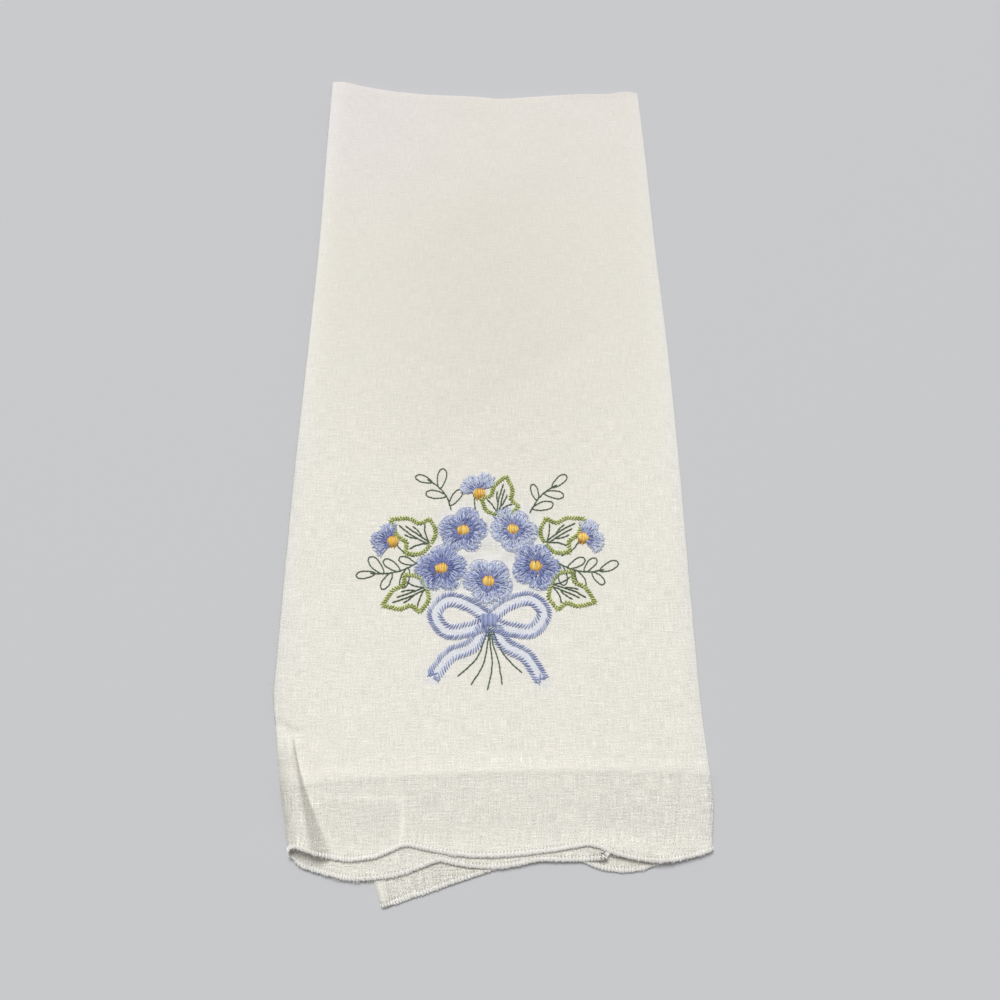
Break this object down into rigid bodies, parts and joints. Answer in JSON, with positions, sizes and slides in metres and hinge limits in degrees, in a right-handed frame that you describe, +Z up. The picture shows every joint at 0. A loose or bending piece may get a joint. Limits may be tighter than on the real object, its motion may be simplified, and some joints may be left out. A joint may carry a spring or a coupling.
{
  "type": "folded hand towel",
  "caption": "Folded off-white linen hand towel lying flat, with a scalloped overlocked hem and an embroidered posy of blue blossoms on its front.",
  "frame": {"origin": "bottom centre of the folded towel's box, on the surface that it lies on", "axes": "+Y along the folded towel from its scalloped hem to its top fold, +X to the right of the embroidered front, +Z up out of it"},
  "size_m": [0.1314, 0.3082, 0.0099],
  "materials": {
    "linen": "plain-woven off-white linen, pressed, slightly sheer",
    "edging_thread": "white overlocking thread",
    "blue_thread": "blue embroidery floss, softly shiny",
    "green_thread": "green embroidery floss, softly shiny",
    "gold_thread": "gold embroidery floss, softly shiny"
  },
  "bodies": {
    "root": {"linen_towel": "linen"}
  },
  "joints": []
}
